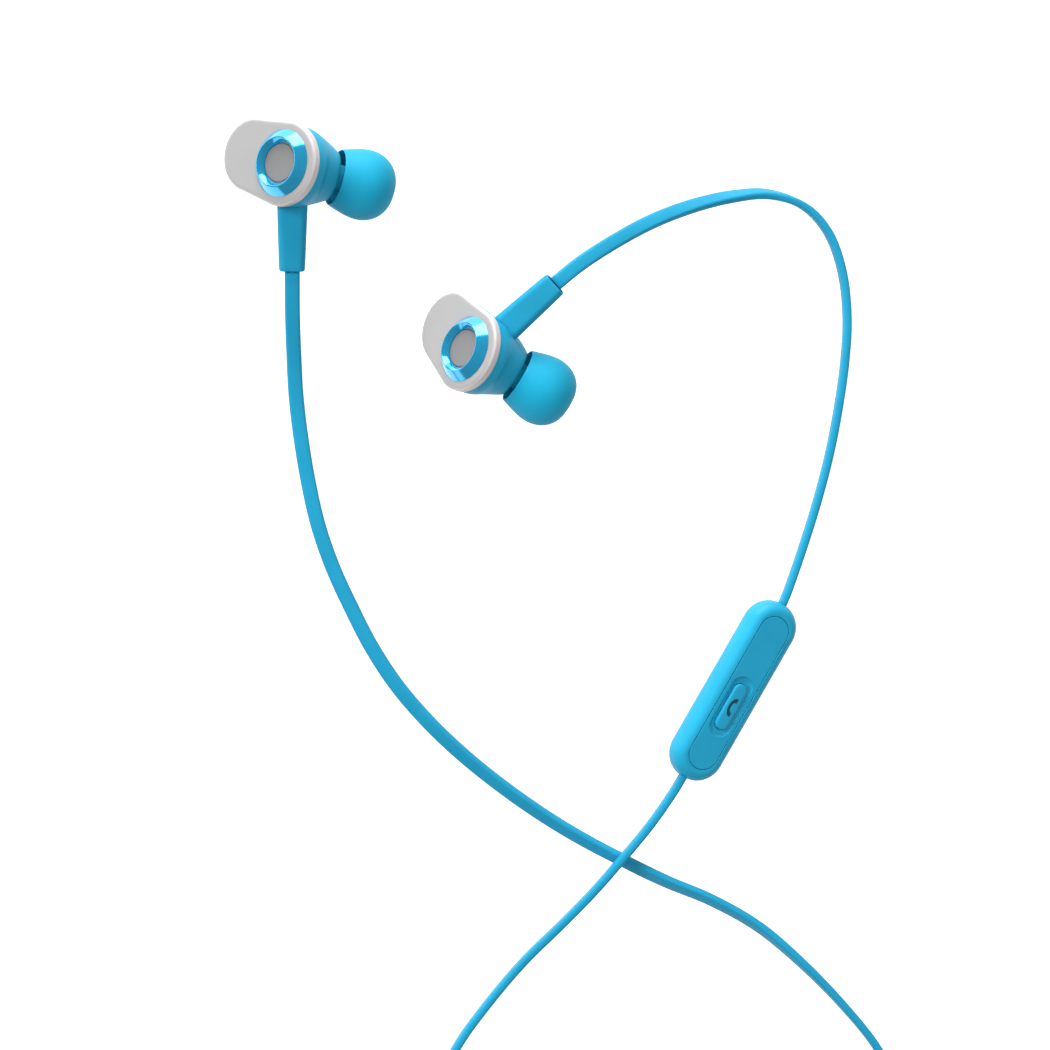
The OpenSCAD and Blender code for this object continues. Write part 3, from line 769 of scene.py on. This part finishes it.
def make_tip():
    """The silicone tip: a domed skirt that stands off its core, with a hollow between them."""
    profile = [
        (4.84, 6.6), (4.98, 6.66), (5.12, 7.0), (5.36, 7.8), (5.85, 9.4), (6.16, 10.8), (6.25, 12.1),
        (6.08, 13.4), (5.6, 14.7), (4.75, 15.85), (3.7, 16.62), (2.75, 16.97), (2.3, 16.99), (2.06, 16.86),
        (2.0, 16.5),
        (2.0, 13.2), (2.05, 12.6), (2.62, 12.5), (2.7, 12.3), (2.7, 10.0), (2.78, 9.65), (2.95, 9.6),
        (3.5, 9.6), (3.66, 9.7), (3.7, 10.1), (3.7, 13.8), (3.82, 14.3), (4.3, 14.38), (4.85, 14.0),
        (5.3, 13.3), (5.62, 12.1), (5.62, 11), (5.32, 9.5), (4.9, 7.9), (4.7, 6.95),
    ]
    tip = lofted("tip", [nozzle_ring(r, s) for r, s in profile], steps=48, closed=True)
    return shaded(subdivided(tip, 1), 80)


def make_screen():
    """The woven screen in the nozzle's bore, cut round from a square grid and given thick wires."""
    bpy.ops.object.select_all(action="DESELECT")
    bpy.ops.mesh.primitive_grid_add(x_subdivisions=15, y_subdivisions=15, size=2.1 * BORE_R * MM)
    screen = bpy.context.object
    bpy.ops.object.mode_set(mode="EDIT")
    select_where(screen.data, lambda co: co.length > (BORE_R + 0.02) * MM)
    bpy.ops.mesh.delete(type="VERT")
    bpy.ops.object.mode_set(mode="OBJECT")
    apply_modifier(screen, "WIREFRAME", thickness=0.085 * MM, use_boundary=True)
    screen.data.transform(NOZZLE @ shift(0, 0, MESH_AT))
    return shaded(screen, 60)


def make_relief():
    """The strain relief: a flat tapered bar, round at its edges, with a slot in its end round the cord."""
    def section(t, inset=0.0, corner=1.15):
        share = (t - RELIEF_ROOT) / (RELIEF_END - RELIEF_ROOT)
        length, width = RELIEF_W - 0.85 * share - 2 * inset, RELIEF_T - 0.4 * share - 2 * inset
        return box_ring(length, width, max(0.3, corner - inset), t)

    rings = [section(RELIEF_ROOT, 0.5), section(RELIEF_ROOT, 0.3), section(RELIEF_ROOT + 0.12, 0.08)]
    rings += [section(RELIEF_ROOT + 0.5), section(9.5), section(14), section(RELIEF_END - 0.45)]
    rings += [section(RELIEF_END - 0.15, 0.05), section(RELIEF_END - 0.03, 0.15)]
    rings += [section(RELIEF_END, 0.27), section(RELIEF_END, 0.4)]
    slot = [(RELIEF_END - 0.06, 3.72, 2.12), (RELIEF_END - 0.25, 3.64, 2.04), (RELIEF_END - 1.8, 3.5, 1.9)]
    rings += [box_ring(length, width, 0.6, t) for t, length, width in slot]
    relief = subdivided(lofted("relief", rings, steps=48), 1)
    relief.data.transform(RELIEF)
    return shaded(relief, 60)


BUD_PIECES = {
    "plate": (make_plate, plate_silver, "faceplate_silver", "faceplate"),
    "ring": (make_trim_ring, ring_blue, "ring_blue_metal", "trim_ring"),
    "disc": (make_disc, disc_grey, "disc_grey_metal", "badge_disc"),
    "shell": (make_shell, shell_blue, "housing_blue", "housing"),
    "screen": (make_screen, mesh_steel, "steel_mesh", "nozzle_mesh"),
    "tip": (make_tip, tip_blue, "tip_silicone", "ear_tip"),
    "relief": (make_relief, relief_blue, "relief_blue", "strain_relief"),
}

for part, (make, material, slot, cad_part) in BUD_PIECES.items():
    model = make()
    remember_place(model)
    for side, bud in SIDES.items():
        piece = placed(copied(model, f"{side}_bud_{part}"), bud)
        body = f"{side}_tip" if part == "tip" else "earphones"
        finish_piece(piece, material, body, slot, f"{side}_{cad_part}")
    bpy.data.objects.remove(model)

# ---- Remote, in its own frame: +X along it and +Z out of its key ----

REMOTE_L = 35.5
REMOTE_W = 9.8
REMOTE_HALF = 2.75
REMOTE_WALL = 1
REMOTE_SEAM = 0.06
REMOTE_FLANK = 0.5
REMOTE_EDGE = 1.85
INLAY_L = 30.6
INLAY_W = 5.9
INLAY_T = 0.8
KEY_X = -2.8
KEY_L = 9
KEY_W = 2.6
KEY_TOP = REMOTE_HALF + 0.3
KEY_GAP = 0.2
MIC_X = 8
REMOTE = shift(38.8, -41.9, 3.65) @ turn(17, 0, 59.7)


def remote_ring(inset, z):
    return bar_ring(REMOTE_L - 2 * inset, REMOTE_W - 2 * inset, z)


def remote_outside():
    """Rings from the seam up the rounded flank to the flat round the inlay."""
    rings = [remote_ring(REMOTE_SEAM, 0), remote_ring(0, REMOTE_SEAM)]
    for across, up in arc(8, 0, 90):
        height = REMOTE_FLANK + (REMOTE_HALF - REMOTE_FLANK) * up
        rings.append(remote_ring(REMOTE_EDGE * (1 - across), height))
    return rings


def key_slot():
    """A cutter for the key's hole, from under the shell to above it."""
    rings = [bar_ring(KEY_L + KEY_GAP, KEY_W + KEY_GAP, z, KEY_X) for z in (0.2, 4)]
    return lofted("slot", rings, steps=96)


def make_remote_upper():
    """The upper shell, with the inlay's seat, the room for the board and the key's hole."""
    rings = remote_outside()
    for grow, depth in ((0.14, 0.03), (0, 0.16), (0, INLAY_T)):
        rings.append(bar_ring(INLAY_L + grow, INLAY_W + grow, REMOTE_HALF - depth))
    shell = lofted("remote_upper", rings, steps=96)
    room = lofted("room", [remote_ring(REMOTE_WALL, z) for z in (1.4, -0.5)], steps=96)
    return shaded(cut(cut(shell, room), key_slot()), 30)


def make_remote_lower():
    """The lower shell, with the microphone's hole bored through it."""
    rings = remote_outside()[::-1] + [remote_ring(REMOTE_WALL, z) for z in (0, 1.9)]
    shell = lofted("remote_lower", rings, steps=96)
    cut(shell, lofted("drill", [ring(0.4, z, x=MIC_X) for z in (1, 4)], steps=32))
    shell.data.transform(turn(x=180))
    return shaded(shell, 30)


def make_inlay():
    """The inlay plate, with a dish sloping down to the key."""
    low, top = REMOTE_HALF - INLAY_T, REMOTE_HALF
    edge = [(0.1, low), (0.1, top - 0.14), (0.2, top - 0.04), (0.36, top)]
    rings = [bar_ring(INLAY_L - less, INLAY_W - less, z) for less, z in edge]
    slope = [
        (10, 3.0, 0.38), (10.8, 3.45, 0.34), (11.4, 3.95, 0.26), (11.75, 4.25, 0.14), (11.9, 4.4, 0.02),
        (12.0, 4.5, -0.3),
    ]
    dish_rings = [bar_ring(length, width, top - depth, KEY_X) for length, width, depth in slope]
    inlay = cut(lofted("inlay", rings, steps=96), lofted("dish", dish_rings, steps=96))
    return shaded(cut(inlay, key_slot()), 24)


def make_key():
    """The call key, with its top edge rounded and its foot flanged."""
    rings = [bar_ring(KEY_L + 0.9, KEY_W + 0.9, z, KEY_X) for z in (0.95, 1.3)]
    rings += [bar_ring(KEY_L, KEY_W, z, KEY_X) for z in (1.3, KEY_TOP - 0.3)]
    for across, up in arc(5, 0, 90)[1:]:
        inset = 0.36 * (1 - across)
        rings.append(bar_ring(KEY_L - 2 * inset, KEY_W - 2 * inset, KEY_TOP - 0.02 - 0.28 * (1 - up), KEY_X))
    rings += [bar_ring(KEY_L - 2, KEY_W - 1.7, KEY_TOP, KEY_X)]
    return shaded(lofted("key", rings, steps=64), 35)


def make_key_post():
    rings = [ring(r, z, x=KEY_X) for r, z in ((0.5, 0.85), (0.6, 0.92), (0.6, 1.0))]
    return shaded(lofted("key_post", rings, steps=32), 35)


def make_handset():
    """A plain handset sign: a bowed grip between two square ends, just proud of the key."""
    outline = [(1.75 * across, 0.95 * up - 0.25) for across, up in arc(16, 0, 180)]
    outline += [(-1.72, -0.45), (-0.98, -0.45), (-0.92, -0.1), (-0.6, 0.14), (0, 0.24)]
    outline += [(0.6, 0.14), (0.92, -0.1), (0.98, -0.45), (1.72, -0.45)]
    mesh = bpy.data.meshes.new("handset")
    corners = [((KEY_X + x) * MM, y * MM, (KEY_TOP - 0.03) * MM) for x, y in outline]
    mesh.from_pydata(corners, [], [range(len(corners))])
    sign = bpy.data.objects.new("handset", mesh)
    bpy.context.scene.collection.objects.link(sign)
    bpy.ops.object.select_all(action="DESELECT")
    bpy.context.view_layer.objects.active = sign
    sign.select_set(True)
    bpy.ops.object.mode_set(mode="EDIT")
    bpy.ops.mesh.select_all(action="SELECT")
    bpy.ops.mesh.extrude_region_move(TRANSFORM_OT_translate={"value": (0, 0, 0.045 * MM)})
    bpy.ops.mesh.select_all(action="SELECT")
    bpy.ops.mesh.normals_make_consistent(inside=False)
    bpy.ops.object.mode_set(mode="OBJECT")
    return shaded(sign, 30)


REMOTE_PIECES = {
    "remote_upper": (make_remote_upper, shell_blue, "earphones", "housing_blue", ["remote_top_shell"]),
    "remote_lower": (make_remote_lower, shell_blue, "earphones", "housing_blue", ["remote_bottom_shell"]),
    "remote_plate": (make_inlay, inlay_blue, "earphones", "inlay_blue", ["remote_inlay"]),
    "answer_key": (make_key, inlay_blue, "key", "inlay_blue", ["call_key"]),
    "answer_key_post": (make_key_post, inlay_blue, "key", "inlay_blue", []),
    "handset_sign": (make_handset, glyph_dark, "key", "inlay_blue", []),
}

for name, (make, material, body, slot, cad_nodes) in REMOTE_PIECES.items():
    piece = make()
    piece.name = piece.data.name = name
    remember_place(piece)
    finish_piece(placed(piece, REMOTE), material, body, slot, *cad_nodes)

# ---- Splitter: two shells, each shaped with its wide end at the origin and its narrow end along +X ----

SPLITTER_WIDE_R = 4
SPLITTER_NARROW_R = 2.6
SPLITTER_REACH = 13.4
SPLITTER_HALF = 2.2
SPLITTER_FLANK = 0.5
SPLITTER_EDGE = 1.4
SPLITTER = shift(8, -152.5, 2.2) @ turn(z=-90)


def splitter_ring(inset, z):
    return pill_ring(SPLITTER_WIDE_R - inset, SPLITTER_NARROW_R - inset, SPLITTER_REACH, z)


def make_splitter_half():
    rings = [splitter_ring(2.3, 1.1), splitter_ring(2.2, 0), splitter_ring(0.05, 0), splitter_ring(0, 0.05)]
    for across, up in arc(8, 0, 90):
        height = SPLITTER_FLANK + (SPLITTER_HALF - SPLITTER_FLANK) * up
        rings.append(splitter_ring(SPLITTER_EDGE * (1 - across), height))
    rings.append(splitter_ring(2.3, SPLITTER_HALF))
    return shaded(lofted("splitter_half", rings, steps=96), 30)


half = make_splitter_half()
remember_place(half)
splitter_top = placed(copied(half, "splitter_top"), SPLITTER)
splitter_base = placed(copied(half, "splitter_base"), SPLITTER @ turn(x=180))
bpy.data.objects.remove(half)
finish_piece(splitter_top, relief_blue, "earphones", "relief_blue", "splitter_upper")
finish_piece(splitter_base, relief_blue, "earphones", "relief_blue", "splitter_lower")

# ---- Plug, in its own frame: +Z from the cord to the pin's end ----

PLUG = shift(-54, -161.5, 3.1) @ turn(x=-90)
BOOT_L = 9
GRIP_R = 3.1
GRIP_L = 14
PIN_AT = BOOT_L + GRIP_L
PIN_R = 1.75
CORE_R = 1.0


def make_boot():
    """The ribbed boot that the cord comes out of, flat at the cord and nearly round at the grip."""
    rings = [box_ring(3.2, 1.9, 0.6, 0.6), box_ring(3.3, 2.0, 0.6, 0), box_ring(4.1, 2.5, 1.2, 0)]
    for k in range(25):
        share = k / 24
        t = 0.15 + share * (BOOT_L - 0.15)
        rib = 0.16 * (1 - math.cos(2 * math.pi * share * 6)) / 2
        length, width = 4.4 + share - 2 * rib, 2.8 + 2.2 * share - 2 * rib
        rings.append(box_ring(length, width, min(width, length) / 2 - 0.01, t))
    return shaded(lofted("boot", rings, steps=64), 50)


def make_grip():
    """The grip: a plain barrel with three fine grooves."""
    start, stop = BOOT_L, PIN_AT
    outline = [(GRIP_R - 0.5, start), (GRIP_R - 0.4, start)]
    outline += [(GRIP_R - 0.06, start + 0.5), (GRIP_R, start + 0.7)]
    for k in range(3):
        groove = start + 2.6 + 1.1 * k
        outline += [(GRIP_R, groove - 0.3), (GRIP_R - 0.18, groove - 0.12), (GRIP_R - 0.18, groove + 0.12)]
        outline += [(GRIP_R, groove + 0.3)]
    outline += [(GRIP_R, stop - 0.5), (GRIP_R - 0.12, stop - 0.15)]
    outline += [(GRIP_R - 0.4, stop), (GRIP_R - 0.6, stop)]
    return shaded(lofted("grip", [ring(r, z) for r, z in outline], steps=96), 30)


def make_band(start, stop, inner=CORE_R, outer=PIN_R):
    """One metal band of the pin, its edges just broken."""
    low, high, broken = PIN_AT + start, PIN_AT + stop, 0.05
    outline = [(inner, low), (outer - broken, low), (outer, low + broken)]
    outline += [(outer, high - broken), (outer - broken, high), (inner, high)]
    return shaded(lofted("band", [ring(r, z) for r, z in outline], steps=64, closed=True), 30)


def make_pin_tip():
    """The tip: its groove, its nose, and the rod that runs back through the insulator."""
    outline = [
        (0.5, 0), (0.5, 10.8), (PIN_R - 0.03, 10.8), (PIN_R, 10.83), (PIN_R, 10.97), (1.45, 11.45),
        (1.27, 11.8), (1.25, 12), (1.29, 12.15), (1.52, 12.6), (1.6, 12.9), (1.56, 13.15),
        (1.15, 13.68), (0.85, 13.92), (0.5, 14),
    ]
    return shaded(lofted("pin_tip", [ring(r, PIN_AT + z) for r, z in outline], steps=64), 30)


def make_insulator():
    """The pin's insulator: a thin sleeve with three raised bands between the metal ones."""
    outline = [(0.5, 0), (CORE_R, 0)]
    for start in (5, 7.6, 10.2):
        outline += [(CORE_R, start), (PIN_R - 0.03, start)]
        outline += [(PIN_R - 0.03, start + 0.6), (CORE_R, start + 0.6)]
    outline += [(0.5, 10.8)]
    return shaded(lofted("insulator", [ring(r, PIN_AT + z) for r, z in outline], steps=64, closed=True), 30)


PLUG_PIECES = {
    "plug_boot": (make_boot, relief_blue, "relief_blue", "plug_relief"),
    "plug_barrel": (make_grip, relief_blue, "relief_blue", "plug_grip"),
    "pin_collar": (lambda: make_band(0, 0.8, outer=2.5), plating, "plug_plating", "plug_collar"),
    "pin_sleeve": (lambda: make_band(0.8, 5), plating, "plug_plating", "plug_sleeve"),
    "pin_microphone_ring": (lambda: make_band(5.6, 7.6), plating, "plug_plating", "plug_microphone_ring"),
    "pin_right_ring": (lambda: make_band(8.2, 10.2), plating, "plug_plating", "plug_right_ring"),
    "pin_insulator": (make_insulator, insulator_black, "insulator_black", "plug_insulator"),
    "pin_tip": (make_pin_tip, plating, "plug_plating", "plug_tip"),
}

for name, (make, material, slot, cad_node) in PLUG_PIECES.items():
    piece = make()
    piece.name = piece.data.name = name
    remember_place(piece)
    finish_piece(placed(piece, PLUG), material, "earphones", slot, cad_node)

# ---- Ties round the coil ----

TIE_T = 0.3
TIE_W = 4
COIL_IN = 8.1
COIL_OUT = 21.5


def make_tie():
    """A soft strap round the coil's turns, shaped lying on its side and then stood across them."""
    middle, span = (COIL_IN + COIL_OUT) / 2, COIL_OUT - COIL_IN
    across, tall = span + 0.5, CORD_W + 0.1
    rings = []
    for grow, edge in ((0, TIE_W / 2), (0, -TIE_W / 2), (TIE_T, -TIE_W / 2), (TIE_T, TIE_W / 2)):
        rings.append(box_ring(across + 2 * grow - 0.1, tall + 2 * grow - 0.12, 0.25 + grow, edge, x=middle))
    tie = lofted("tie", rings, steps=48, closed=True)
    tie.data.transform(shift(0, 0, COIL_Z) @ turn(x=90))
    return shaded(tie, 40)


tie = make_tie()
remember_place(tie)
for number, angle in enumerate((20, 140)):
    strap = placed(copied(tie, f"coil_tie_{number + 1}"), shift(*COIL_AT) @ turn(z=angle))
    finish_piece(strap, tie_black, "earphones", "tie_black", "cord_ties")
bpy.data.objects.remove(tie)

# ---- Pieces that the CAD model already has right ----

INNER_MATERIALS = {
    "terminal_board": board_green,
    "driver_yoke": driver_steel,
    "driver_magnet": magnet_nickel,
    "driver_pole_plate": driver_steel,
    "driver_frame": frame_grey,
    "driver_cover": driver_steel,
    "voice_coil": coil_copper,
    "diaphragm": film,
}
NODE_MATERIALS = {
    "key_switch": driver_steel,
    "remote_board": board_green,
    "microphone": driver_steel,
    "microphone_gasket": gasket_black,
    "splitter_core": frame_grey,
}
for side in SIDES:
    NODE_MATERIALS.update({f"{side}_{part}": material for part, material in INNER_MATERIALS.items()})
for name, material in NODE_MATERIALS.items():
    cad_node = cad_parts[name]
    cad_node.data.materials.clear()
    cad_node.data.materials.append(material)

# ---- Floor and light ----


def stage_floor():
    """A matt floor just under the part, which the camera and polished metal see as plain white."""
    bpy.ops.object.select_all(action="DESELECT")
    bpy.ops.mesh.primitive_plane_add(size=6, location=(0, 0, -0.2 * MM))
    floor = bpy.context.object
    floor.name = "floor"
    paint = bpy.data.materials.new("floor_paint")
    paint.use_nodes = True
    surface = paint.node_tree.nodes["Principled BSDF"]
    surface.inputs["Base Color"].default_value = (0.6, 0.6, 0.6, 1)
    surface.inputs["Roughness"].default_value = 0.9
    surface.inputs["Emission Strength"].default_value = 0.85
    path = node(paint.node_tree, "ShaderNodeLightPath")
    seen = node(paint.node_tree, "ShaderNodeMath", operation="MAXIMUM")
    link(
        paint.node_tree,
        (path.outputs["Is Camera Ray"], seen.inputs[0]),
        (path.outputs["Is Glossy Ray"], seen.inputs[1]),
        (seen.outputs[0], surface.inputs["Emission Color"]),
    )
    floor.data.materials.append(paint)


def soft_light(name, toward, distance, size, power, mirrored=True):
    """A square softbox in a direction from the view's centre. Polish shows it only if it is mirrored."""
    lamp = bpy.data.objects.new(name, bpy.data.lights.new(name, "AREA"))
    bpy.context.scene.collection.objects.link(lamp)
    lamp.data.shape = "SQUARE"
    lamp.data.size = size
    lamp.data.energy = power
    lamp.visible_glossy = mirrored
    direction = Vector(toward).normalized()
    lamp.location = VIEW_CENTRE + direction * distance
    lamp.rotation_euler = direction.to_track_quat("Z", "Y").to_euler()


stage_floor()
soft_light("window", (-0.2, 0.95, 0.25), 1.1, 0.8, 17)
soft_light("key", (-0.75, 0.3, 0.6), 1.2, 0.4, 9, mirrored=False)
soft_light("overhead", (0, 0, 1), 1.1, 0.5, 4, mirrored=False)

world = bpy.data.worlds.new("studio")
bpy.context.scene.world = world
world.use_nodes = True
world.node_tree.nodes["Background"].inputs["Color"].default_value = (1, 1, 1, 1)
world.node_tree.nodes["Background"].inputs["Strength"].default_value = 0.3
bpy.context.scene.view_settings.view_transform = "Standard"
